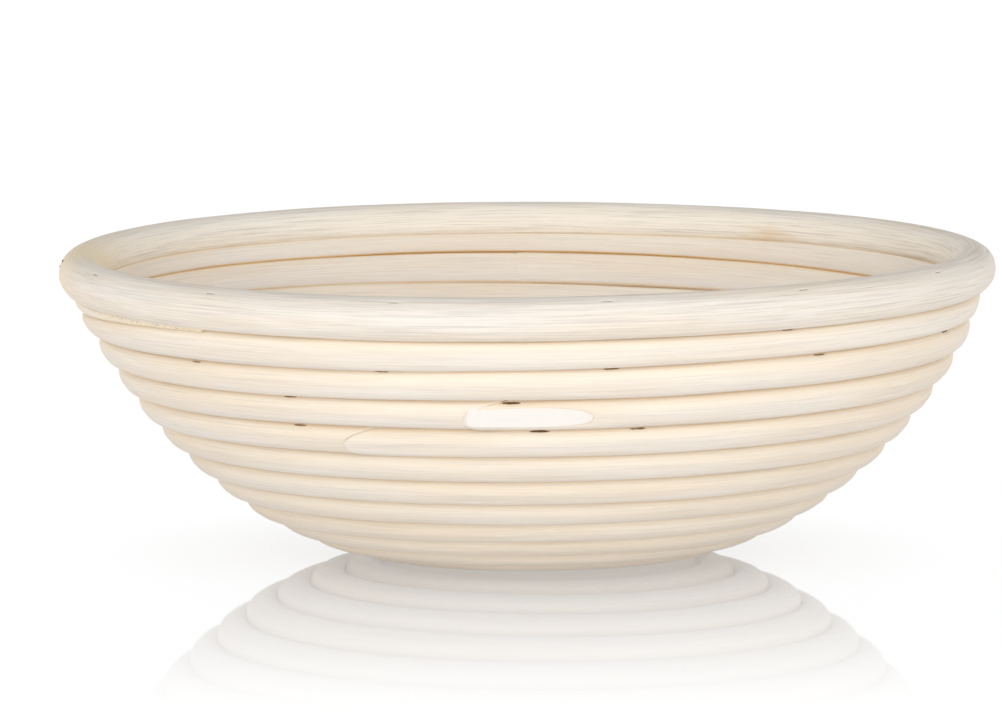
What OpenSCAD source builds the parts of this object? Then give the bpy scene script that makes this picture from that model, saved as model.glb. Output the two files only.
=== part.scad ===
// Round coiled-cane proofing basket: one long spiral of rattan core, spliced from
// several lengths, closed by a single rim ring and held together with wire staples.
// Millimetres. The basket stands on its flat coiled base at z = 0, mouth up.

/* [Bowl] */
// Outside diameter across the rim
outer_d = 250; // [240:1:270]
// Radius of the arc that turns the base up into the wall
heel_arc_r = 70; // [60:1:75]
// Wall angle above horizontal where the heel arc meets the wall arc
heel_angle = 35; // [30:1:38]
// Radius of the long arc of the upper wall
wall_arc_r = 120; // [110:1:124]
// Wall angle above horizontal under the rim
mouth_angle = 68; // [64:1:72]

/* [Cane] */
// Thickness of the coiled cane, square to the wall
cane_d = 9.6; // [9:0.1:10]
// Diameter of the heavier rim cane
rim_d = 11.4; // [11:0.1:12]
// Turns of the coil from the centre of the base up to the rim
coil_turns = 15.3; // [15:0.05:15.6]
// Squareness of the cane section, pressed flat where turns touch (2 is round)
section_power = 2.8; // [2:0.1:3.2]
// Direction of the coil's last tip, seen from above, counterclockwise from +X
tip_angle = 227; // [180:1:270]
// How far the upper turns dip below an even spiral, opposite the tip
coil_lean = 0.6; // [0:0.1:1.5]
// Length of the slanted lap that joins two lengths of cane
lap_length = 36; // [24:1:48]

/* [Staples] */
// Width of a staple crown
crown_w = 5; // [4:0.5:6]
// Length of a staple leg
leg_length = 13; // [11:0.5:14]
// Thickness of the staple wire
wire_t = 0.9; // [0.6:0.1:1.2]
// Spacing of the staples along the coil
staple_pitch = 60; // [45:1:80]
// Number of staples in the rim
rim_staple_count = 14; // [10:1:18]
// Direction of the first rim staple, seen from above, counterclockwise from +X
rim_staple_angle = 279.5; // [270:0.5:290]
// Diameter of the brads that hold the slanted joint of the rim
brad_d = 1.2; // [0.9:0.1:1.6]

/* [Hidden] */

cane_color = [0.93, 0.87, 0.78];
steel_color = [0.42, 0.33, 0.24];
gap = 0.05;
half_d = cane_d / 2;
rim_r = rim_d / 2;
section_sides = 12;
thin_share = 0.06;

// Crowns lie just under the cane's edge, a little outside the wall's middle line.
crown_sink = 0.15;
crown_offset = cane_d / 6;
splice_staple_offsets = [34, 59];
rim_crown_lean = 37;
rim_crown_sink = 0.8;

// Where the wall's middle line starts to rise, and where it ends under the rim.
rim_center_r = outer_d / 2 - rim_r;
wall_end_r = rim_center_r - (rim_r + gap) * cos(mouth_angle);
heel_rise_r = heel_arc_r * sin(heel_angle);
wall_rise_r = wall_arc_r * (sin(mouth_angle) - sin(heel_angle));
base_flat_r = wall_end_r - wall_rise_r - heel_rise_r;
heel_end_z = half_d + heel_arc_r * (1 - cos(heel_angle));
wall_end_z = heel_end_z + wall_arc_r * (cos(heel_angle) - cos(mouth_angle));
rim_center_z = wall_end_z + (rim_r + gap) * sin(mouth_angle);

// Lengths along the wall's middle line, measured from the centre of the base.
heel_start = base_flat_r;
wall_start = heel_start + heel_arc_r * heel_angle * PI / 180;
mouth_length = wall_start + wall_arc_r * (mouth_angle - heel_angle) * PI / 180;
turn_pitch = mouth_length / coil_turns;

// The coil is counted in turns n from the centre; its last turn thins to a tip.
first_turn = 1;
last_turn = coil_turns + 0.9;
rim_splice_angle = 180;
rim_splice_slant = 14;
rim_cut_w = 0.3;

// Turn at which each length of cane begins.
base_from = 5.3;
heel_from = 7.9;
lower_from = 10.2;
middle_from = coil_turns - 2.93;
upper_from = coil_turns - 1.88;
top_from = coil_turns - 0.4;

// Angle of the wall above horizontal at length s from the centre.
function wall_angle(s) =
    s < heel_start ? 0
    : s < wall_start ? (s - heel_start) / heel_arc_r * 180 / PI
    : heel_angle + (s - wall_start) / wall_arc_r * 180 / PI;

// Radius and height of the wall's middle line at length s.
function wall_r(s) =
    let (a = wall_angle(s))
    s < heel_start ? s
    : s < wall_start ? base_flat_r + heel_arc_r * sin(a)
    : base_flat_r + heel_rise_r + wall_arc_r * (sin(a) - sin(heel_angle));
function wall_z(s) =
    let (a = wall_angle(s))
    s < heel_start ? half_d
    : s < wall_start ? half_d + heel_arc_r * (1 - cos(a))
    : heel_end_z + wall_arc_r * (cos(heel_angle) - cos(a));

// Direction of the coil at turn n, and the upper edge of that turn along the wall.
function turn_angle(n) = tip_angle + 360 * (n - coil_turns - 1);
function dip(n) = coil_lean * n / coil_turns * (1 - cos(360 * (n - coil_turns)));
function upper_edge(n) = n > coil_turns ? mouth_length : turn_pitch * n - dip(n);
function lower_edge(n) = max(upper_edge(n - 1), 0);

// Point of the coil at turn n, along the wall by s and off its middle line by c.
function coil_point(n, s, c) =
    let (a = wall_angle(s), r = wall_r(s) + c * sin(a), t = turn_angle(n))
    [r * cos(t), r * sin(t), wall_z(s) - c * cos(a)];

// One corner of the flattened cane section, as shares of its half width and half
// thickness. The corners straddle the axes, so the section has true flats.
function corner_share(x) = sign(x) * pow(abs(x), 2 / section_power);
function section_corner(i) =
    let (
        a = 360 * (i + 0.5) / section_sides,
        widest = corner_share(cos(180 / section_sides))
    )
    [corner_share(cos(a)) / widest, corner_share(sin(a)) / widest];

// Turns that a slanted lap centred on turn at takes up, and the share of the cane's
// thickness that it leaves at a number of turns into the cane from its centre.
function lap_turns(at) = lap_length / (2 * PI * wall_r(turn_pitch * at));
function lap_share(into, at) = min(max(into / lap_turns(at) + 0.5, thin_share), 1);

// Section of the cane at turn n. The lap at its start leaves the outer side of the
// wall, and the lap at its end the inner side, so neighbours lie face to face.
function section(n, from, to) =
    let (
        low = lower_edge(n) + gap,
        high = upper_edge(n) - gap,
        mid = (low + high) / 2,
        half_w = (high - low) / 2,
        start = from > first_turn ? lap_share(n - from, from) : 1,
        stop = to < last_turn ? lap_share(to - n, to) : 1,
        outer = half_d - 2 * half_d * (1 - stop) - (stop < 1 ? gap : 0),
        inner = -half_d + 2 * half_d * (1 - start) + (start < 1 ? gap : 0)
    )
    [
        for (i = [0 : section_sides - 1])
        let (k = section_corner(i))
        coil_point(n, mid + k[0] * half_w, (outer + inner) / 2 + k[1] * (outer - inner) / 2)
    ];

// Closed solid swept along the coil from one turn to another.
module cane_length(from, to, rings_per_turn) {
    start = from > first_turn ? from - lap_turns(from) / 2 : from;
    stop = to < last_turn ? to + lap_turns(to) / 2 : to;
    steps = ceil((stop - start) * rings_per_turn);
    sides = section_sides;
    points = [
        for (i = [0 : steps])
        each section(start + (stop - start) * i / steps, from, to)
    ];
    faces = concat(
        [[for (j = [0 : sides - 1]) j]],
        [
            for (i = [0 : steps - 1])
            for (j = [0 : sides - 1])
            let (k = (j + 1) % sides, a = i * sides, b = a + sides)
            [a + j, b + j, b + k, a + k]
        ],
        [[for (j = [sides - 1 : -1 : 0]) steps * sides + j]]
    );
    color(cane_color) polyhedron(points, faces);
}

// Wire staple driven down the wall, its crown at the origin along Y.
module staple() {
    translate([-wire_t / 2, -crown_w / 2, -wire_t]) cube([wire_t, crown_w, wire_t]);
    for (side = [-1, 1])
        translate([-wire_t / 2, side * (crown_w - wire_t) / 2 - wire_t / 2, -leg_length])
            cube([wire_t, wire_t, leg_length - wire_t / 2]);
}

// One staple of the coil, its crown sunk in the outer edge of turn n, and its legs
// along the chord of the curved wall below it.
module staple_at(n) {
    s = upper_edge(n) - crown_sink;
    translate(coil_point(n, s, crown_offset))
        rotate([0, 0, turn_angle(n)])
            rotate([0, 90 - wall_angle(s - leg_length / 2), 0])
                staple();
}

// Staples that hold one length of cane to the turn inside it. The half staple over
// in each turn staggers them from turn to turn, like brickwork. The phase is the
// share of the spacing that the first one stands from the start of the cane.
module cane_staples(from, to, phase = 0.5) {
    middle_r = wall_r(turn_pitch * (from + to - 1) / 2);
    per_turn = round(2 * PI * middle_r / staple_pitch) + 0.5;
    count = round((to - from) * per_turn);
    color(steel_color)
        for (i = [0 : count - 1])
            staple_at(from + (to - from) * (i + phase) / count);
}

module center_cane() { cane_length(first_turn, base_from, 24); }
module base_cane() { cane_length(base_from, heel_from, 28); }
module heel_cane() { cane_length(heel_from, lower_from, 32); }
module lower_wall_cane() { cane_length(lower_from, middle_from, 36); }
module middle_wall_cane() { cane_length(middle_from, upper_from, 36); }
module upper_wall_cane() { cane_length(upper_from, top_from, 36); }
module top_cane() { cane_length(top_from, last_turn, 36); }

// Single ring of heavier cane, its ends cut on a slant where they meet.
module rim_cane() {
    color(cane_color)
        difference() {
            rotate_extrude($fn = 96)
                translate([rim_center_r, rim_center_z]) circle(r = rim_r, $fn = 48);
            rotate([0, 0, rim_splice_angle])
                translate([rim_center_r, 0, rim_center_z])
                    rotate([0, 0, rim_splice_slant])
                        cube([rim_cut_w, rim_d * 6, rim_d * 2], center = true);
        }
}

module center_staples() { cane_staples(first_turn + 1, base_from); }
module base_staples() { cane_staples(base_from, heel_from); }
module heel_staples() { cane_staples(heel_from, lower_from); }
module lower_wall_staples() { cane_staples(lower_from, middle_from); }
module middle_wall_staples() { cane_staples(middle_from, upper_from, 0.9); }
module upper_wall_staples() { cane_staples(upper_from, top_from); }
module top_staples() { cane_staples(top_from, coil_turns + 0.5); }

// Staples driven down through the rim into the turn below it.
module rim_staples() {
    crown_r = rim_r - rim_crown_sink;
    color(steel_color)
        for (i = [0 : rim_staple_count - 1])
            rotate([0, 0, rim_staple_angle + 360 * i / rim_staple_count])
                translate([
                    rim_center_r + crown_r * sin(rim_crown_lean), 0,
                    rim_center_z + crown_r * cos(rim_crown_lean)
                ])
                    rotate([0, 90 - mouth_angle, 0]) staple();
}

// Extra staples that hold down the start of each new length of cane.
module splice_staples() {
    color(steel_color)
        for (n = [base_from, heel_from, lower_from, middle_from, upper_from, top_from])
            for (offset = splice_staple_offsets)
                staple_at(n + offset / (2 * PI * wall_r(turn_pitch * n)));
}

// Brads driven from the outside through the slanted joint of the rim.
module rim_splice_brads() {
    brad_spacing = 6;
    brad_step = 2.2;
    head_sink = 0.1;
    color(steel_color)
        for (side = [-1 : 1])
            let (
                height = brad_step * (side + 0.5),
                reach = sqrt(rim_r * rim_r - height * height) - head_sink
            )
                rotate([0, 0, rim_splice_angle])
                    translate([rim_center_r - rim_r * 0.7, side * brad_spacing, rim_center_z + height])
                        rotate([0, 90, 0]) cylinder(h = rim_r * 0.7 + reach, d = brad_d, $fn = 24);
}

center_cane();
base_cane();
heel_cane();
lower_wall_cane();
middle_wall_cane();
upper_wall_cane();
top_cane();
rim_cane();
center_staples();
base_staples();
heel_staples();
lower_wall_staples();
middle_wall_staples();
upper_wall_staples();
top_staples();
rim_staples();
splice_staples();
rim_splice_brads();
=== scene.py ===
"""Coiled-cane proofing basket: the visual model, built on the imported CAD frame."""

import math

import bpy
import numpy as np
from mathutils import Matrix, Vector


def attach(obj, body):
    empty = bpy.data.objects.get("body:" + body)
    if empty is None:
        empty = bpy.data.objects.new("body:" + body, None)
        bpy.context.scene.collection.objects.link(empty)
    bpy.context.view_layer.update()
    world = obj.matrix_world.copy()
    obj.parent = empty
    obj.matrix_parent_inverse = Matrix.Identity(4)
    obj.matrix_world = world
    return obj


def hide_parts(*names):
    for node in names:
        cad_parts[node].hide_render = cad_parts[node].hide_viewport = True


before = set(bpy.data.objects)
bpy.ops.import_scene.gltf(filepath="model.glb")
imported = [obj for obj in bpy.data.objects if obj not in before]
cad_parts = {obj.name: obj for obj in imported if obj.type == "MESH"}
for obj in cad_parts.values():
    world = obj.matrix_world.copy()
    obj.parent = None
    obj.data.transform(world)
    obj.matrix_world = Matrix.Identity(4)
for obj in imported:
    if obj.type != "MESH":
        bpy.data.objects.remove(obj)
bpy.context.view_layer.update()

MM = 0.001
TAU = 2 * math.pi

# The CAD's driving dimensions, in millimetres and radians.
OUTER_D = 250
HEEL_ARC_R = 70
HEEL_ANGLE = math.radians(35)
WALL_ARC_R = 120
MOUTH_ANGLE = math.radians(68)
CANE_D = 9.6
RIM_D = 11.4
COIL_TURNS = 15.3
TIP_ANGLE = math.radians(227)
COIL_LEAN = 0.6
LAP_LENGTH = 36
CROWN_W = 5
CROWN_SINK = 0.15
CROWN_OFFSET = CANE_D / 6
LEG_LENGTH = 13
WIRE_T = 0.9
BRAD_D = 1.2
STAPLE_PITCH = 60
RIM_CROWN_LEAN = math.radians(37)
RIM_CROWN_SINK = 0.8
RIM_STAPLE_COUNT = 14
RIM_STAPLE_ANGLE = math.radians(279.5)
RIM_SPLICE_ANGLE = math.pi
RIM_SPLICE_SLANT = math.radians(14)
SPLICE_STAPLE_OFFSETS = (34, 59)
GAP = 0.05
HALF_D = CANE_D / 2
RIM_R = RIM_D / 2
FRONT = 1.5 * math.pi

# Turn at which each length of cane begins, counted from the centre of the base.
FIRST_TURN = 1
BASE_FROM = 5.3
HEEL_FROM = 7.9
LOWER_FROM = 10.2
MIDDLE_FROM = COIL_TURNS - 2.93
UPPER_FROM = COIL_TURNS - 1.88
TOP_FROM = COIL_TURNS - 0.4
LAST_TURN = COIL_TURNS + 1

# The wall's middle line, as in the CAD: a flat base, a heel arc and a wall arc.
RIM_CENTER_R = OUTER_D / 2 - RIM_R
WALL_END_R = RIM_CENTER_R - (RIM_R + GAP) * math.cos(MOUTH_ANGLE)
HEEL_RISE_R = HEEL_ARC_R * math.sin(HEEL_ANGLE)
WALL_RISE_R = WALL_ARC_R * (math.sin(MOUTH_ANGLE) - math.sin(HEEL_ANGLE))
BASE_FLAT_R = WALL_END_R - WALL_RISE_R - HEEL_RISE_R
HEEL_END_Z = HALF_D + HEEL_ARC_R * (1 - math.cos(HEEL_ANGLE))
WALL_END_Z = HEEL_END_Z + WALL_ARC_R * (math.cos(HEEL_ANGLE) - math.cos(MOUTH_ANGLE))
RIM_CENTER_Z = WALL_END_Z + (RIM_R + GAP) * math.sin(MOUTH_ANGLE)
HEEL_START = BASE_FLAT_R
WALL_START = HEEL_START + HEEL_ARC_R * HEEL_ANGLE
MOUTH_LENGTH = WALL_START + WALL_ARC_R * (MOUTH_ANGLE - HEEL_ANGLE)
TURN_PITCH = MOUTH_LENGTH / COIL_TURNS

# The pressed section of the cane: round outside, flatter inside, and squeezed
# against its neighbours. The top turn cups the round underside of the rim.
OUTER_POWER = 2.4
INNER_POWER = 8.0
INNER_SHARE = 0.95
PRESS = 0.2
CRADLE = 1.0
INNER_CRADLE = 1.4
CRADLE_TURNS = 0.15

# The slanted laps: how thick a tongue's tip is, the seam between two canes, and the
# face shaved on the outer one, which is deep only where the upper wall's cane begins.
TONGUE_TIP = 0.05
SEAM = 0.02
FACET_DEPTH = 0.6
SHALLOW_FACET_DEPTH = 0.12
FACET_START = 0.5
FACET_ROUND = 3.0
FACET_END = LAP_LENGTH - 3
FACET_TILT = 1.2
PALE_FADE, PALE_FADE_FROM, PALE_FADE_LENGTH = 0.25, 16, 20

# The last tip: it presses down the turn under it, and its end is ragged and cut blunt.
TIP_SQUEEZE, TIP_SQUEEZE_TURNS, TIP_RELEASE_TURNS = 2.1, 0.13, 0.3
RAGGED_TURNS, RAGGED_FADE, RAGGED_DEPTH = 0.085, 0.02, 0.16
BLUNT_TURNS = 0.004

# Slits pressed by the staples, as half length, half height and depth. On the coil they
# lie beside the line between two turns, measured over the cane's shoulder, and the
# cane above the line is pressed less. An open slit's staple stands nearer the outside.
COIL_SLIT = (2.2, 0.4, 0.14)
RIM_SLIT = (1.8, 0.35, 0.25)
COIL_SLIT_SIDE = 0.4
SHOULDER = 3.4
RIM_SLIT_LEAN = math.radians(54)
LOWER_LIP = 0.3
OPEN_LIFT, OPEN_LIFT_LENGTH = 0.3, 4

# How golden the inside grooves are, partly stain and partly painted crease shade and bounce light:
# most lines, the line under the top turn, and the line under the rim.
GOLD, GOLD_TOP_LINE, GOLD_UNDER_RIM = 0.2, 0.8, 0.6

# The brown stain inside the back of the rim, and the yellowish zone round its joint.
STAIN_ANGLE = math.radians(54)
STAIN_HALF_LENGTH, STAIN_LEAN, STAIN_SPREAD = 9, 0.35, 0.6
JOINT_HALF_LENGTH, JOINT_TINT = 28, 1.7

# A hand-made basket isn't quite true: the wall rides up into the rim and stands a
# little to one side of it, and the rim is tilted and slightly twisted.
WALL_LIFT, WALL_LIFT_LENGTH = 1.0, 36
WALL_SHIFT, WALL_SHIFT_LENGTH = 1.2, 14
RIM_TILT = 0.6
RIM_TWIST = 0.4
RIM_BACK_RISE = 0.3
RIM_SWAY_LENGTH = 34


# ---------------------------------------------------------------- shape of the wall

def smooth(x):
    """Smoothstep of x, held to the range 0 to 1."""
    x = np.clip(x, 0, 1)
    return x * x * (3 - 2 * x)


def value_noise(u, v, columns, seed):
    """Smooth noise from -1 to 1, repeating once as u goes from 0 to 1."""
    u, v = np.broadcast_arrays(u, v)
    v = v - v.min()
    grid = np.random.default_rng(seed).uniform(-1, 1, (int(v.max()) + 3, columns))
    a, b = (u % 1) * columns, v
    i, j = np.floor(a).astype(int) % columns, np.floor(b).astype(int)
    fa, fb = smooth(a - np.floor(a)), smooth(b - np.floor(b))
    k = (i + 1) % columns
    near = grid[j, i] * (1 - fa) + grid[j, k] * fa
    far = grid[j + 1, i] * (1 - fa) + grid[j + 1, k] * fa
    return near * (1 - fb) + far * fb


def ring_noise(u, theta, columns, rows, seed):
    """Smooth noise over the rim's surface, closed both ways."""
    grid = np.random.default_rng(seed).uniform(-1, 1, (rows, columns))
    a, b = (u % 1) * columns, theta / TAU * rows
    i, j = np.floor(a).astype(int), np.floor(b).astype(int)
    fa, fb = smooth(a - i), smooth(b - j)
    i, j, k, m = i % columns, j % rows, (i + 1) % columns, (j + 1) % rows
    near = grid[j, i] * (1 - fa) + grid[j, k] * fa
    far = grid[m, i] * (1 - fa) + grid[m, k] * fa
    return near * (1 - fb) + far * fb


def wall_angle(s):
    """Angle of the wall above horizontal at length s from the centre."""
    heel = (s - HEEL_START) / HEEL_ARC_R
    wall = HEEL_ANGLE + (s - WALL_START) / WALL_ARC_R
    return np.where(s < HEEL_START, 0, np.where(s < WALL_START, heel, wall))


def wall_r(s):
    """Radius of the wall's middle line at length s."""
    a = wall_angle(s)
    heel = BASE_FLAT_R + HEEL_ARC_R * np.sin(a)
    wall = BASE_FLAT_R + HEEL_RISE_R + WALL_ARC_R * (np.sin(a) - math.sin(HEEL_ANGLE))
    return np.where(s < HEEL_START, s, np.where(s < WALL_START, heel, wall))


def wall_z(s):
    """Height of the wall's middle line at length s."""
    a = wall_angle(s)
    heel = HALF_D + HEEL_ARC_R * (1 - np.cos(a))
    wall = HEEL_END_Z + WALL_ARC_R * (math.cos(HEEL_ANGLE) - np.cos(a))
    return np.where(s < HEEL_START, HALF_D, np.where(s < WALL_START, heel, wall))


def turn_angle(n):
    """Direction of the coil at turn n, seen from above."""
    return TIP_ANGLE + TAU * (n - COIL_TURNS - 1)


def tip_squeeze(n):
    """How far the last tip presses down the turn under it."""
    before = COIL_TURNS - n
    released = smooth((before - TIP_SQUEEZE_TURNS) / TIP_RELEASE_TURNS)
    return TIP_SQUEEZE * smooth(before / TIP_SQUEEZE_TURNS) * (1 - released)


def edge(n):
    """Length along the wall of the upper edge of turn n, with a hand-made wander."""
    dip = COIL_LEAN * n / COIL_TURNS * (1 - np.cos(TAU * (n - COIL_TURNS)))
    wander = 0.2 * value_noise(0, n * 8, 1, 11) + 0.1 * value_noise(0, n * 21, 1, 12)
    wander = wander * smooth((COIL_TURNS - n) / 0.3) * smooth(n / 3)
    coil = TURN_PITCH * n - dip - tip_squeeze(n) + wander
    return np.maximum(np.where(n > COIL_TURNS, MOUTH_LENGTH, coil), 0)


def rim_sway(theta):
    """How far the hand-made rim stands above its true height."""
    back = RIM_BACK_RISE * (1 + np.sin(theta)) / 2
    return RIM_TILT * np.cos(theta) - RIM_TWIST * np.sin(2 * theta) + back


def wall_point(n, s, c):
    """Place at turn n, at length s up the wall and c outwards from its middle line."""
    a, t = wall_angle(s), turn_angle(n)
    r = wall_r(s) + c * np.sin(a)
    near_rim = smooth((s - (MOUTH_LENGTH - RIM_SWAY_LENGTH)) / RIM_SWAY_LENGTH)
    lift = WALL_LIFT * smooth((s - HEEL_START) / WALL_LIFT_LENGTH) * (1 - 0.5 * near_rim)
    at_rim = smooth((s - (MOUTH_LENGTH - WALL_SHIFT_LENGTH)) / WALL_SHIFT_LENGTH)
    x = r * np.cos(t) + WALL_SHIFT * (1 - at_rim)
    z = wall_z(s) - c * np.cos(a) + lift + rim_sway(t) * near_rim
    return np.stack([x, r * np.sin(t), np.maximum(z, 0)], -1)


def turn_length(n):
    """Length of one whole turn of the coil at turn n."""
    return TAU * wall_r(TURN_PITCH * n)


def section_outline(sides):
    """Unit outline of the pressed cane, evenly spaced, with its outward normals."""
    a = np.linspace(0, TAU, 4001)
    power = np.where(np.sin(a) > 0, OUTER_POWER, INNER_POWER)
    x = np.sign(np.cos(a)) * np.abs(np.cos(a)) ** (2 / power)
    y = np.sign(np.sin(a)) * np.abs(np.sin(a)) ** (2 / power)
    along = np.concatenate([[0], np.cumsum(np.hypot(np.diff(x), np.diff(y)))])
    at = np.linspace(0, along[-1], sides, endpoint=False)
    x, y = np.interp(at, along, x), np.interp(at, along, y)
    power = np.where(y > 0, OUTER_POWER, INNER_POWER)
    normal_x = np.sign(x) * np.abs(x) ** (power - 1)
    normal_y = np.sign(y) * np.abs(y) ** (power - 1)
    size = np.hypot(normal_x, normal_y)
    return x, y * np.where(y < 0, INNER_SHARE, 1), normal_x / size, normal_y / size


# ---------------------------------------------------------------- staples

def staple_turns(start, end, phase=0.5):
    """Turns at which the CAD's staples of one length of cane stand."""
    middle_r = wall_r(TURN_PITCH * (start + end - 1) / 2)
    per_turn = round(float(TAU * middle_r / STAPLE_PITCH)) + 0.5
    count = round((end - start) * per_turn)
    return start + (end - start) * (np.arange(count) + phase) / count


def all_staple_turns():
    """Turns of the staples of each length of cane, and last those at the splices."""
    starts = (BASE_FROM, HEEL_FROM, LOWER_FROM, MIDDLE_FROM, UPPER_FROM, TOP_FROM)
    turns = [staple_turns(FIRST_TURN + 1, BASE_FROM)]
    for start, end in zip(starts, starts[1:] + (COIL_TURNS + 0.5,)):
        turns.append(staple_turns(start, end, 0.9 if start == MIDDLE_FROM else 0.5))
    extra = [at + np.array(SPLICE_STAPLE_OFFSETS) / turn_length(at) for at in starts]
    return turns + [np.concatenate(extra)]


# Staples of the front whose slits stand open: turns below the rim, direction from
# the front in degrees, and how open. Elsewhere a share of them is picked at random.
FRONT_SLITS = (
    (0, 34, 0.6), (1, -62, 0.6), (1, -31, 0.6), (1, 0, 0.55), (1, 31, 0.6), (1, 63, 1.0),
    (2, -38, 0.6), (2, -3, 0.9), (3, -35, 0.6), (3, 2, 0.9), (3, 13, 1.0), (3, 17, 0.7),
)
FRONT_HALF_VIEW = 85
OPEN_SHARE = 0.3
OPEN_RANGE = (0.5, 0.9)


def open_slits(turns):
    """How open each staple's slit is: as listed at the front, now and then elsewhere."""
    rng = np.random.default_rng(5)
    picked = rng.uniform(0, 1, len(turns)) < OPEN_SHARE
    opened = np.where(picked, rng.uniform(*OPEN_RANGE, len(turns)), 0)
    from_front = np.degrees((turn_angle(turns) - FRONT + math.pi) % TAU - math.pi)
    opened = np.where(np.abs(from_front) < FRONT_HALF_VIEW, 0, opened)
    for below, direction, size in FRONT_SLITS:
        n = COIL_TURNS + (FRONT + math.radians(direction) - TIP_ANGLE) / TAU - below
        opened[np.argmin(np.abs(turns - n))] = size
    return opened


STAPLES_BY_LENGTH = all_staple_turns()
STAPLE_TURNS = np.sort(np.concatenate(STAPLES_BY_LENGTH))
STAPLE_OPEN = open_slits(STAPLE_TURNS)


def nearest_staple(n):
    """Distance in mm along the coil to the nearest staple, and how open its slit is."""
    right = np.clip(np.searchsorted(STAPLE_TURNS, n), 1, len(STAPLE_TURNS) - 1)
    left = right - 1
    nearer = n - STAPLE_TURNS[left] < STAPLE_TURNS[right] - n
    pick = np.where(nearer, left, right)
    return np.abs(n - STAPLE_TURNS[pick]) * turn_length(n), STAPLE_OPEN[pick]


# ---------------------------------------------------------------- meshes

def make_piece(name, nodes, material, points, loops_of, attributes):
    """One mesh piece on the root body, from points in mm and a list of face arrays."""
    mesh = bpy.data.meshes.new(name)
    points = np.asarray(points, dtype=np.float32).reshape(-1, 3) * MM
    mesh.vertices.add(len(points))
    mesh.vertices.foreach_set("co", points.ravel())
    corners = np.concatenate([f.ravel() for f in loops_of]).astype(np.int32)
    sizes = np.concatenate([np.full(f.shape[0], f.shape[1]) for f in loops_of])
    starts = np.concatenate([[0], np.cumsum(sizes)[:-1]]).astype(np.int32)
    mesh.loops.add(len(corners))
    mesh.loops.foreach_set("vertex_index", corners)
    mesh.polygons.add(len(sizes))
    mesh.polygons.foreach_set("loop_start", starts)
    mesh.polygons.foreach_set("use_smooth", sizes == 4)
    mesh.update(calc_edges=True)
    for key, values in attributes.items():
        values = np.asarray(values, dtype=np.float32).reshape(len(points), -1)
        kind, field = ("FLOAT", "value") if values.shape[1] == 1 else ("FLOAT_VECTOR", "vector")
        mesh.attributes.new(key, kind, "POINT").data.foreach_set(field, values.ravel())
    mesh.materials.append(material)
    piece = bpy.data.objects.new(name, mesh)
    bpy.context.scene.collection.objects.link(piece)
    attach(piece, "root")
    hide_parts(*nodes)


def tube_faces(rings, sides, closed=False):
    """Quads between rings of points, with an end face on each end of an open tube."""
    i = np.arange(rings if closed else rings - 1)[:, None] * sides
    j = np.arange(sides)[None, :]
    k = (j + 1) % sides
    after = (i + sides) % (rings * sides)
    quads = np.stack([i + j, i + k, after + k, after + j], -1).reshape(-1, 4)
    if closed:
        return [quads]
    first = np.arange(sides)[None, ::-1]
    last = (rings - 1) * sides + np.arange(sides)[None, :]
    return [quads, first, last]


def even_turns(start, end, spacing):
    """Turns from start to end, evenly spaced in mm, and finer at the two tips."""
    fine = np.linspace(start, end, 4000)
    length = np.concatenate([[0], np.cumsum(np.diff(fine) * turn_length(fine[1:]))])
    tip_length, clearance = 4, 0.2
    tips = np.linspace(0, tip_length, 12)
    even = np.linspace(0, length[-1], int(length[-1] / spacing))
    to_tip = np.minimum(even, length[-1] - even)
    at = np.unique(np.concatenate([tips, even[to_tip > tip_length + clearance], length[-1] - tips]))
    return np.interp(at, length, fine), at


def lap_plane(into, outer, inner):
    """Height of the slanted cut between two canes, from the outer face to the inner."""
    share = np.clip(into / LAP_LENGTH, 0, 1)
    return outer - TONGUE_TIP - (outer - inner - 2 * TONGUE_TIP) * share


def half_width(c, outer, inner):
    """Half width of the cane's outline at height c, as a share of the widest."""
    power = np.where(c > 0, OUTER_POWER, INNER_POWER)
    height = np.clip(np.where(c > 0, c / outer, c / inner), 0, 1)
    return (1 - height ** power) ** (1 / power)


def facet_depth(into, deepest):
    """How deep a lap's outer face is shaved, from its rounded end to where it fades."""
    along = into - FACET_START
    rounded = np.sqrt(1 - (1 - np.clip(along / FACET_ROUND, 0, 1)) ** 2)
    faded = np.sqrt(1 - np.clip(along / FACET_END, 0, 1) ** 4)
    return deepest * rounded * faded


def cut_laps(x, c, n, start, end, outer, inner):
    """The outline cut by the slanted laps at the cane's two ends, and how far shaved."""
    shaved = np.full_like(c, -1.0)
    for at, keeps_outer in ((start, True), (end, False)):
        if at in (FIRST_TURN, LAST_TURN):
            continue
        into = (n - at) * turn_length(at) + LAP_LENGTH / 2
        near = (into > FACET_START - 1) & (into < LAP_LENGTH)
        deep = at == UPPER_FROM
        depth = facet_depth(into, FACET_DEPTH if deep else SHALLOW_FACET_DEPTH)
        top = outer - depth * (1 + FACET_TILT * x)
        fresh = c - top - PALE_FADE * smooth((into - PALE_FADE_FROM) / PALE_FADE_LENGTH)
        shaved = np.where(near & deep, fresh, shaved)
        c = np.minimum(c, top)
        plane = np.minimum(lap_plane(into, outer, inner), top - TONGUE_TIP)
        if keeps_outer:
            moved = (into < LAP_LENGTH) & (c < plane)
        else:
            plane = plane - SEAM
            moved = (into > 0) & (c > plane)
        widest = half_width(plane, outer, inner)
        x = np.where(moved, np.clip(x, -widest, widest), x)
        c = np.where(moved, plane, c)
    return x, c, shaved


def slit_press(from_staple, from_line, size):
    """How deep a staple presses the cane, at distances along and across its slit."""
    half_length, half_height, depth = size
    along = np.exp(-((from_staple / half_length) ** 4))
    return depth * along * np.exp(-((from_line / half_height) ** 2))


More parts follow.
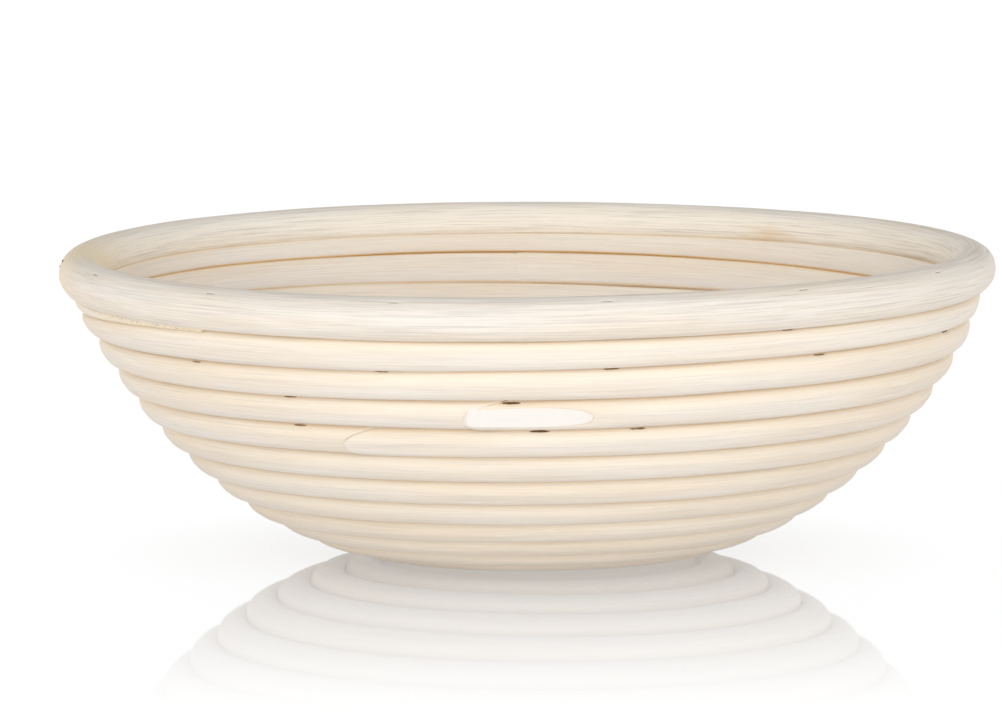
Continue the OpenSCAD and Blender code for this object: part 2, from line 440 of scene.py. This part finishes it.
def cane_outline(n, along, start, end, sides, seed):
    """The cane's skin before its slits, as s up the wall and c outwards from its middle.

    With it come which points face up, their distance to the line between two turns,
    their normals, how far they are shaved and how ragged the cane is there.
    """
    x, y, normal_x, normal_y = (v[None, :] for v in section_outline(sides))
    u = np.arange(sides)[None, :] / sides
    low, high = edge(n - 1), edge(n)
    half_w = (high - low) / 2 + PRESS
    # A cane that narrows to a tip grows thinner too.
    half_c = HALF_D * (0.76 + 0.24 * smooth(half_w / 4))
    half_c = half_c + 0.1 * value_noise(0, along / 45, 1, seed + 1)
    ridges = (
        0.05 * value_noise(u, along / 18, 30, seed + 2)
        + 0.04 * value_noise(u, along / 26, 48, seed + 3)
        + 0.09 * value_noise(u, along / 30, 7, seed + 4)
    )
    ragged = smooth((n - (LAST_TURN - RAGGED_TURNS)) / RAGGED_FADE)
    ridges = ridges + RAGGED_DEPTH * ragged * value_noise(u, along / 1.3, 40, seed + 5)
    c = y * half_c + normal_y * ridges
    x, c, shaved = cut_laps(x + 0 * c, c, n, start, end, half_c, -half_c * INNER_SHARE)
    under_rim = smooth((n - (COIL_TURNS - CRADLE_TURNS)) / CRADLE_TURNS)
    cup = np.where(y > 0, CRADLE, INNER_CRADLE) * under_rim * y ** 2 * smooth((x + 0.2) / 0.8)
    s = (low + high) / 2 + x * half_w + normal_x * ridges + cup
    to_edge = np.where(x > 0, high + cup - s, s - low)
    return s, c, x > 0, to_edge, (normal_x, normal_y), shaved, ragged


def cane_piece(name, node, start, end, spacing, sides, seed):
    """One length of coiled cane, with its slanted laps, fibres and staple slits."""
    lap_before = LAP_LENGTH / 2 / turn_length(start) if start > FIRST_TURN else 0
    lap_after = LAP_LENGTH / 2 / turn_length(end) if end < LAST_TURN else -BLUNT_TURNS
    n, along = even_turns(start - lap_before, end + lap_after, spacing)
    n, along = n[:, None], along[:, None]
    s, c, upper, to_edge, normal, shaved, ragged = cane_outline(n, along, start, end, sides, seed)
    flat = 0 * s

    # Each side of the cane answers to the staples of its own groove.
    turn_above = np.where(upper, n, n - 1)
    from_staple, open_by = nearest_staple(turn_above + flat)
    outside = smooth(c / 1.5)
    groove = np.hypot(np.maximum(to_edge, 0), np.maximum(c - SHOULDER, 0))
    slit = slit_press(from_staple, groove - COIL_SLIT_SIDE, COIL_SLIT)
    slit = slit * outside * np.where(upper, 1, LOWER_LIP) * open_by
    s = s - normal[0] * slit
    c = c - normal[1] * slit

    # Golden inside grooves: partly stain, partly painted crease shade and bounce light.
    gold = np.where(turn_above > COIL_TURNS - 1, GOLD_TOP_LINE, GOLD)
    gold = np.where(turn_above > COIL_TURNS, GOLD_UNDER_RIM, gold) * smooth(-c)
    angle = TAU * np.arange(sides)[None, :] / sides
    grain_r, hidden = 5, 5
    grain = (along, grain_r * np.cos(angle), grain_r * np.sin(angle))
    attributes = {
        "grain": np.stack([v + flat for v in grain], -1),
        "slit": np.stack([from_staple, groove + hidden * (1 - outside), open_by + flat], -1),
        "marks": np.stack([np.clip(shaved, -0.5, 0.5), ragged + flat, gold], -1),
        "groove": groove,
        # Upper edge of the section takes painted light, the lower edge painted shade.
        "rise": np.cos(angle) + flat,
    }
    points = wall_point(n + flat, s, c)
    make_piece(name, [node], coil_material, points,
               tube_faces(len(n), sides), attributes)


def rim_piece():
    """The heavier rim ring, with coarse fibres, staple slits and its slanted joint."""
    sides, rings = 128, 620
    theta = np.linspace(0, TAU, rings, endpoint=False)[:, None]
    u = np.arange(sides)[None, :] / sides
    around = TAU * u
    along = theta * RIM_CENTER_R
    ridges = (
        0.06 * ring_noise(u, theta, 34, 42, 31)
        + 0.05 * ring_noise(u, theta, 64, 30, 32)
        + 0.12 * ring_noise(u, theta, 7, 20, 33)
    )
    turn = (theta - RIM_STAPLE_ANGLE) / TAU * RIM_STAPLE_COUNT
    from_staple = np.abs(turn - np.round(turn)) / RIM_STAPLE_COUNT * TAU * RIM_CENTER_R
    across = (around - RIM_SLIT_LEAN) * RIM_R + 0 * theta
    r = RIM_R + ridges - slit_press(from_staple, across, RIM_SLIT)
    joint = (theta - RIM_SPLICE_ANGLE) * RIM_CENTER_R
    joint = joint - math.tan(RIM_SPLICE_SLANT) * RIM_R * np.cos(around)
    radius = RIM_CENTER_R + r * np.cos(around)
    points = np.stack([radius * np.cos(theta), radius * np.sin(theta),
                       RIM_CENTER_Z + r * np.sin(around) + rim_sway(theta)], -1)
    flat = 0 * r

    # The joint is tinted by the same mark that yellows the coil's ragged tip.
    stain = np.exp(-(((theta - STAIN_ANGLE) * RIM_CENTER_R / STAIN_HALF_LENGTH) ** 2))
    stain = stain * np.exp(-(((around - math.pi - STAIN_LEAN) / STAIN_SPREAD) ** 2))
    stain = stain * (0.85 + 0.5 * ring_noise(u, theta, 30, 160, 34))
    # The stain is drawn in the colour that paints the step shadow round the coil's shaved laps.
    stain_and_step_shadow = np.where(stain > 0.01, 0.05 * stain - 0.03, -0.5)
    yellow = JOINT_TINT * np.exp(-(joint / JOINT_HALF_LENGTH) ** 2)
    grain_r, shorter, off_line, opened = 6, 1.3, 0.3, 0.8
    grain = (along, grain_r * np.cos(around), grain_r * np.sin(around))
    attributes = {
        "grain": np.stack([v + flat for v in grain], -1),
        "slit": np.stack([from_staple * shorter + flat, np.abs(across) + off_line, opened + flat], -1),
        "marks": np.stack([stain_and_step_shadow, yellow + flat, flat], -1),
        "groove": 3 + flat,
        # The rim's inner face takes painted light, its outer face painted shade.
        "rise": np.where(np.cos(around) > 0, 0.4, 1) * -np.cos(around) + flat,
    }
    make_piece("cane_rim", ["rim_cane"], rim_material, points,
               tube_faces(rings, sides, closed=True), attributes)


# ---------------------------------------------------------------- materials

def linear(red, green, blue):
    """Shader colour for an sRGB colour given from 0 to 255."""
    def channel(v):
        v = v / 255
        return v / 12.92 if v <= 0.04045 else ((v + 0.055) / 1.055) ** 2.4
    return channel(red), channel(green), channel(blue), 1.0


class Nodes:
    """Short ways to build one material's node tree."""

    def __init__(self, name):
        self.material = bpy.data.materials.new(name)
        self.material.use_nodes = True
        self.tree = self.material.node_tree
        self.shader = self.tree.nodes["Principled BSDF"]

    def put(self, socket, value):
        if isinstance(value, bpy.types.NodeSocket):
            self.tree.links.new(value, socket)
        else:
            socket.default_value = value

    def attribute(self, name, output="Vector"):
        node = self.tree.nodes.new("ShaderNodeAttribute")
        node.attribute_name = name
        return node.outputs[output]

    def split(self, vector):
        node = self.tree.nodes.new("ShaderNodeSeparateXYZ")
        self.put(node.inputs[0], vector)
        return node.outputs

    def math(self, operation, a, b=0.0, c=0.0, clamp=False):
        node = self.tree.nodes.new("ShaderNodeMath")
        node.operation, node.use_clamp = operation, clamp
        for socket, value in zip(node.inputs, (a, b, c)):
            self.put(socket, value)
        return node.outputs[0]

    def stretch(self, vector, along, across):
        node = self.tree.nodes.new("ShaderNodeVectorMath")
        node.operation = "MULTIPLY"
        self.put(node.inputs[0], vector)
        self.put(node.inputs[1], (along, across, across))
        return node.outputs[0]

    def noise(self, vector, detail=3.0, roughness=0.5):
        node = self.tree.nodes.new("ShaderNodeTexNoise")
        self.put(node.inputs["Vector"], vector)
        self.put(node.inputs["Scale"], 1.0)
        self.put(node.inputs["Detail"], detail)
        self.put(node.inputs["Roughness"], roughness)
        return node.outputs["Fac"]

    def span(self, value, low, high, to_low=0.0, to_high=1.0):
        node = self.tree.nodes.new("ShaderNodeMapRange")
        node.interpolation_type = "SMOOTHSTEP"
        for socket, number in zip(node.inputs, (value, low, high, to_low, to_high)):
            self.put(socket, number)
        return node.outputs[0]

    def mix(self, factor, a, b, blend="MIX"):
        node = self.tree.nodes.new("ShaderNodeMix")
        node.data_type, node.blend_type = "RGBA", blend
        # The colour inputs share their names with the others, so they go by number.
        self.put(node.inputs["Factor"], factor)
        self.put(node.inputs[6], a)
        self.put(node.inputs[7], b)
        return node.outputs[2]

    def bump(self, height, strength, distance):
        node = self.tree.nodes.new("ShaderNodeBump")
        self.put(node.inputs["Height"], height)
        self.put(node.inputs["Strength"], strength)
        self.put(node.inputs["Distance"], distance)
        return node.outputs[0]


# The grey of the canes' undersides is painted shade.
PAINTED_UNDERSIDE_SHADE = linear(214, 207, 200)
WHITE_FIBRE = linear(252, 247, 240)
GROOVE_STAIN_AND_SHADE = linear(226, 196, 156)
GOLDEN_GROOVE_STAIN_AND_SHADE = linear(214, 170, 100)
STAIN_AND_STEP_SHADOW = linear(222, 190, 140)
PITH = linear(242, 238, 233)
RAGGED_END = linear(246, 229, 198)
BROWN_SPECK = linear(150, 116, 72)
SHALLOW_SLIT_STAIN_AND_SHADE = linear(196, 160, 114)
OPEN_SLIT_STAIN_AND_SHADE = linear(104, 76, 42)


def cane_material(name, pale, warm, grey, upper, hatch, fibre_depth):
    """Bleached rattan core: long fibres, painted light and shade across the cane, warm grooves of
    stain and painted crease shade, brown slits of stain and painted shade, and pale pith.
    """
    k = Nodes(name)
    grain = k.attribute("grain")
    broad = k.noise(k.stretch(grain, 0.014, 0.16), 2)
    streak = k.noise(k.stretch(grain, 0.03, 1.9), 3, 0.65)
    fine = k.noise(k.stretch(grain, 0.05, 4.4), 3, 0.7)
    # A broad tint. Then a warmer, lighter upper side, partly the cane's own tone and partly painted
    # light, and a painted-shade grey underside. Then grey and white fibres.
    colour = k.mix(k.span(broad, 0.35, 0.7), pale, warm)
    rise = k.attribute("rise", "Fac")
    colour = k.mix(k.span(rise, 0.1, 0.95, 0.0, 0.6), colour, upper)
    colour = k.mix(k.span(rise, -0.95, -0.1, 0.5, 0.0), colour, PAINTED_UNDERSIDE_SHADE)
    colour = k.mix(k.span(streak, 0.48, 0.72, 0.0, hatch), colour, grey)
    colour = k.mix(k.span(fine, 0.5, 0.72, 0.0, hatch), colour, grey)
    colour = k.mix(k.span(fine, 0.3, 0.46, hatch, 0.0), colour, WHITE_FIBRE)

    # Tan at the lines between turns, outside and inside the bowl: partly stain, partly painted crease
    # shade and bounce light.
    groove = k.attribute("groove", "Fac")
    tan = k.span(k.math("ADD", groove, k.math("MULTIPLY", streak, 0.8)), 0.5, 1.3, 0.35, 0.0)
    colour = k.mix(tan, colour, GROOVE_STAIN_AND_SHADE)

    # Golden inside lines of stain and painted crease shade, the shaved lap with a painted step shadow
    # round its edge, and the ragged tip.
    shaved, ragged, gold = k.split(k.attribute("marks"))
    golden_stain_and_shade = k.math("MULTIPLY", k.span(k.math("ADD", groove, streak), 0.5, 1.1, 1.0, 0.0), gold)
    colour = k.mix(golden_stain_and_shade, colour, GOLDEN_GROOVE_STAIN_AND_SHADE)
    # A tan outline round the shaved face is the painted shadow of its step; on the rim the same colour
    # draws the real stain.
    stain_and_step_shadow = k.math("SUBTRACT", k.span(shaved, -0.03, 0.01), k.span(shaved, 0.03, 0.08))
    colour = k.mix(k.math("MULTIPLY", stain_and_step_shadow, 0.5), colour, STAIN_AND_STEP_SHADOW)
    pith = k.span(k.math("ADD", shaved, k.math("MULTIPLY", fine, 0.06)), 0.04, 0.12, 0.0, 0.85)
    colour = k.mix(pith, colour, PITH)
    colour = k.mix(k.math("MULTIPLY", ragged, 0.55), colour, RAGGED_END)
    specks = k.span(k.noise(k.stretch(grain, 1.3, 2.2), 2), 0.6, 0.66)
    specks = k.math("MULTIPLY", specks, k.span(groove, 0.5, 1.2, 0.8, 0.0))
    colour = k.mix(k.math("MULTIPLY", specks, ragged), colour, BROWN_SPECK)

    # Dark slits over the staples, with a torn outline: painted shade of the slit's hollow, with some
    # brown stain.
    along, across, opened = k.split(k.attribute("slit"))
    long = k.math("POWER", k.math("DIVIDE", along, 2.1), 2.0)
    tall = k.math("POWER", k.math("DIVIDE", k.math("SUBTRACT", across, 0.3), 0.12), 2.0)
    ripple = k.noise(k.stretch(grain, 1.1, 1.5), 2)
    ripple = k.math("MULTIPLY", k.math("SUBTRACT", ripple, opened), 2.4)
    reach = k.math("ADD", k.math("ADD", long, tall), ripple)
    slit_stain_and_shade = k.math("MULTIPLY", k.span(reach, 0.2, 0.9, 1.0, 0.0), k.span(opened, 0.1, 0.5))
    colour = k.mix(slit_stain_and_shade, colour, k.mix(opened, SHALLOW_SLIT_STAIN_AND_SHADE, OPEN_SLIT_STAIN_AND_SHADE))

    k.put(k.shader.inputs["Base Color"], colour)
    k.put(k.shader.inputs["Roughness"], k.span(streak, 0.3, 0.7, 0.65, 0.8))
    k.put(k.shader.inputs["Specular IOR Level"], 0.25)
    height = k.math("ADD", fine, k.math("MULTIPLY", streak, 1.5))
    k.put(k.shader.inputs["Normal"], k.bump(height, 0.6, fibre_depth))
    return k.material


def staple_material():
    """Steel wire gone brown and dull from damp dough."""
    k = Nodes("staple steel")
    place = k.tree.nodes.new("ShaderNodeTexCoord").outputs["Object"]
    patch = k.noise(k.stretch(place, 900, 900), 3)
    colour = k.mix(k.span(patch, 0.4, 0.65), linear(128, 98, 62), linear(84, 60, 34))
    k.put(k.shader.inputs["Base Color"], colour)
    k.put(k.shader.inputs["Metallic"], 0.2)
    k.put(k.shader.inputs["Roughness"], k.span(patch, 0.3, 0.7, 0.4, 0.7))
    return k.material


# The fourth colour is painted light on each cane's upper side; on the rim it falls on the inner face.
coil_material = cane_material("rattan coil", linear(240, 231, 219), linear(238, 224, 206),
                              linear(213, 204, 194), linear(243, 226, 199), 0.42, 0.06 * MM)
rim_material = cane_material("rattan rim", linear(240, 232, 222), linear(239, 226, 209),
                             linear(201, 193, 184), linear(255, 248, 234), 0.62, 0.1 * MM)


# ---------------------------------------------------------------- the basket

# Each length of cane: its label, CAD node, first and last turn, the spacing of its
# rings of points in mm, and the points in each ring.
LENGTHS = (
    ("center", "center_cane", FIRST_TURN, BASE_FROM, 2.0, 64),
    ("base", "base_cane", BASE_FROM, HEEL_FROM, 2.0, 64),
    ("heel", "heel_cane", HEEL_FROM, LOWER_FROM, 2.0, 72),
    ("lower", "lower_wall_cane", LOWER_FROM, MIDDLE_FROM, 1.8, 80),
    ("middle", "middle_wall_cane", MIDDLE_FROM, UPPER_FROM, 1.2, 96),
    ("upper", "upper_wall_cane", UPPER_FROM, TOP_FROM, 1.2, 96),
    ("top", "top_cane", TOP_FROM, LAST_TURN, 1.2, 96),
)
for index, (label, node, start, end, spacing, sides) in enumerate(LENGTHS):
    cane_piece("cane_" + label, node, start, end, spacing, sides, 100 * (index + 1))
rim_piece()


# ---------------------------------------------------------------- fasteners

def staple_shape():
    """Rings of points along one bent wire, as across, up and out from its crown."""
    half, bend, steps, squareness, tip = (CROWN_W - WIRE_T) / 2, 0.7, 4, 0.6, 0.12
    arc = np.linspace(0, math.pi / 2, steps)
    corner = np.stack([half - bend + bend * np.sin(arc), bend * (np.cos(arc) - 1)], -1)
    leg = np.array([[half, v] for v in np.linspace(-LEG_LENGTH * 0.3, -LEG_LENGTH, 5)])
    right = np.concatenate([[[0.0, 0.0]], corner, leg])
    path = np.concatenate([right[:0:-1] * (-1, 1), right])
    ahead = np.gradient(path, axis=0)
    ahead /= np.linalg.norm(ahead, axis=1)[:, None]
    side = np.stack([-ahead[:, 1], ahead[:, 0]], -1)
    a = np.linspace(0, TAU, 10, endpoint=False)
    wide = np.sign(np.cos(a)) * np.abs(np.cos(a)) ** squareness
    tall = np.sign(np.sin(a)) * np.abs(np.sin(a)) ** squareness
    half_wire = np.full(len(path), WIRE_T / 2)
    half_wire[[0, -1]] = tip
    offset = wide[None, :] * half_wire[:, None]
    spot = path[:, None, :] + side[:, None, :] * offset[..., None]
    return spot[..., 0], spot[..., 1] - WIRE_T / 2, tall[None, :] * half_wire[:, None]


def staples_piece(name, node, places):
    """All the staples of one CAD node, each one put in its place by a function."""
    shape = staple_shape()
    rings, sides = shape[0].shape
    points = [place(*shape).reshape(-1, 3) for place in places]
    faces = [f + i * rings * sides for i in range(len(places)) for f in tube_faces(rings, sides)]
    make_piece(name, [node], steel_material, np.concatenate(points), faces, {})


def on_coil(n):
    """Place of a staple in the coil, nearer the outside where its slit is open."""
    opened = STAPLE_OPEN[np.argmin(np.abs(STAPLE_TURNS - n))]

    def place(across, up, out):
        turns = n + across / turn_length(n)
        s = edge(turns) - CROWN_SINK + up
        nearer = OPEN_LIFT * opened * smooth(1 + up / OPEN_LIFT_LENGTH)
        return wall_point(turns, s, CROWN_OFFSET + nearer + out)
    return place


def on_rim(theta):
    """Place of a staple in the rim, driven down the slope of the wall."""
    def place(across, up, out):
        crown_r = RIM_R - RIM_CROWN_SINK
        slope_r, slope_z = math.cos(MOUTH_ANGLE), math.sin(MOUTH_ANGLE)
        at = theta + across / RIM_CENTER_R
        r = RIM_CENTER_R + crown_r * math.sin(RIM_CROWN_LEAN) + up * slope_r + out * slope_z
        z = RIM_CENTER_Z + crown_r * math.cos(RIM_CROWN_LEAN) + up * slope_z - out * slope_r
        return np.stack([r * np.cos(at), r * np.sin(at), z + rim_sway(at)], -1)
    return place


def brads_piece():
    """The brads of the rim's slanted joint, with their heads just under its surface."""
    sides, spacing, step, sunk, bevel = 24, 6, 2.2, 0.05, 0.1
    foot = RIM_CENTER_R - 4
    a = np.linspace(0, TAU, sides, endpoint=False)
    points, faces = [], []
    for side in (-1, 0, 1):
        height = step * (side + 0.5)
        head = RIM_CENTER_R + math.sqrt(RIM_R ** 2 - height ** 2) - sunk
        for r, d in ((foot, BRAD_D), (head - bevel, BRAD_D), (head, BRAD_D - 2 * bevel)):
            points.append(np.stack([0 * a - r, d / 2 * np.cos(a) - side * spacing,
                                    RIM_CENTER_Z + height + d / 2 * np.sin(a)], -1))
        faces += [f + (side + 1) * 3 * sides for f in tube_faces(3, sides)]
    points = np.concatenate(points)
    points[:, 2] += rim_sway(np.arctan2(points[:, 1], points[:, 0]))
    make_piece("rim_brads", ["rim_splice_brads"], steel_material, points, faces, {})


steel_material = staple_material()

STAPLE_LABELS = ("center", "base", "heel", "lower_wall", "middle_wall", "upper_wall", "top", "splice")
for label, turns in zip(STAPLE_LABELS, STAPLES_BY_LENGTH):
    staples_piece("staples_" + label, label + "_staples", [on_coil(n) for n in turns])
rim_at = RIM_STAPLE_ANGLE + TAU * np.arange(RIM_STAPLE_COUNT) / RIM_STAPLE_COUNT
staples_piece("staples_rim", "rim_staples", [on_rim(theta) for theta in rim_at])
brads_piece()


# ---------------------------------------------------------------- studio

def floor_material():
    """White glossy table whose mirror fades with distance from the basket."""
    k = Nodes("white table")
    place = k.tree.nodes.new("ShaderNodeNewGeometry").outputs["Position"]
    length = k.tree.nodes.new("ShaderNodeVectorMath")
    length.operation = "LENGTH"
    k.put(length.inputs[0], place)
    distance = length.outputs["Value"]
    # The table glows, and is matt near the basket so that it takes a little shadow.
    glow, gloss, matt, lit, table = (
        k.tree.nodes.new("ShaderNode" + kind)
        for kind in ("Emission", "BsdfGlossy", "BsdfDiffuse", "MixShader", "MixShader")
    )
    k.put(glow.inputs["Strength"], 1.04)
    k.put(gloss.inputs["Roughness"], 0.03)
    k.put(matt.inputs["Color"], (0.95, 0.95, 0.95, 1))
    k.put(lit.inputs[0], k.span(distance, 0.05, 0.12, 0.4, 0.03))
    k.put(table.inputs[0], k.span(distance, 0.05, 0.33, 0.55, 0.0))
    for source, socket in ((glow, lit.inputs[1]), (matt, lit.inputs[2]), (lit, table.inputs[1]),
                           (gloss, table.inputs[2])):
        k.put(socket, source.outputs[0])
    k.put(k.tree.nodes["Material Output"].inputs["Surface"], table.outputs[0])
    k.tree.nodes.remove(k.shader)
    return k.material


def make_floor():
    """A round white table far wider than the view."""
    sides, reach = 64, 9000
    a = np.linspace(0, TAU, sides, endpoint=False)
    mesh = bpy.data.meshes.new("floor")
    ring = [(reach * MM * math.cos(v), reach * MM * math.sin(v), 0) for v in a]
    mesh.from_pydata(ring, [], [list(range(sides))])
    mesh.materials.append(floor_material())
    floor = bpy.data.objects.new("floor", mesh)
    bpy.context.scene.collection.objects.link(floor)


def make_light(name, azimuth, elevation, strength, softness):
    """A very soft sun from the given direction, in degrees."""
    lamp = bpy.data.lights.new(name, "SUN")
    lamp.energy, lamp.angle = strength, math.radians(softness)
    light = bpy.data.objects.new(name, lamp)
    a, e = math.radians(azimuth), math.radians(elevation)
    away = Vector((math.cos(a) * math.cos(e), math.sin(a) * math.cos(e), math.sin(e)))
    light.rotation_euler = away.to_track_quat("Z", "Y").to_euler()
    bpy.context.scene.collection.objects.link(light)


def make_world():
    """White studio walls, brightest low down, under a dim ceiling."""
    world = bpy.data.worlds.new("studio")
    world.use_nodes = True
    tree = world.node_tree
    place, split, walls, low, total = (
        tree.nodes.new("ShaderNode" + kind)
        for kind in ("TexCoord", "SeparateXYZ", "MapRange", "MapRange", "Math")
    )
    # Each band: between which heights it fades, and its strength below and above them.
    for node, values in ((walls, (0.35, 1.0, 0.82, 0.12)), (low, (0.1, 0.25, 0.45, 0.0))):
        node.interpolation_type = "SMOOTHSTEP"
        for socket, value in zip(node.inputs[1:5], values):
            socket.default_value = value
        tree.links.new(split.outputs["Z"], node.inputs[0])
    tree.links.new(place.outputs["Generated"], split.inputs[0])
    tree.links.new(walls.outputs[0], total.inputs[0])
    tree.links.new(low.outputs[0], total.inputs[1])
    tree.links.new(total.outputs[0], tree.nodes["Background"].inputs["Strength"])
    tree.nodes["Background"].inputs["Color"].default_value = (1, 1, 1, 1)
    bpy.context.scene.world = world


def make_camera():
    """A long lens, low in front of the basket."""
    distance, elevation, roll, lens = 2.6, math.radians(6.65), math.radians(0.1), 349.4
    target = Vector((-0.0070, 0, 0.0528))
    camera = bpy.data.objects.new("camera", bpy.data.cameras.new("camera"))
    camera.data.lens, camera.data.sensor_width = lens, 36
    back = Vector((0, -math.cos(elevation), math.sin(elevation)))
    camera.location = target + distance * back
    turned = back.to_track_quat("Z", "Y").to_matrix() @ Matrix.Rotation(-roll, 3, "Z")
    camera.rotation_euler = turned.to_euler()
    bpy.context.scene.collection.objects.link(camera)
    bpy.context.scene.camera = camera


make_floor()
make_camera()
make_light("key", azimuth=-92, elevation=30, strength=1.28, softness=60)
make_world()
bpy.context.scene.view_settings.view_transform = "Standard"
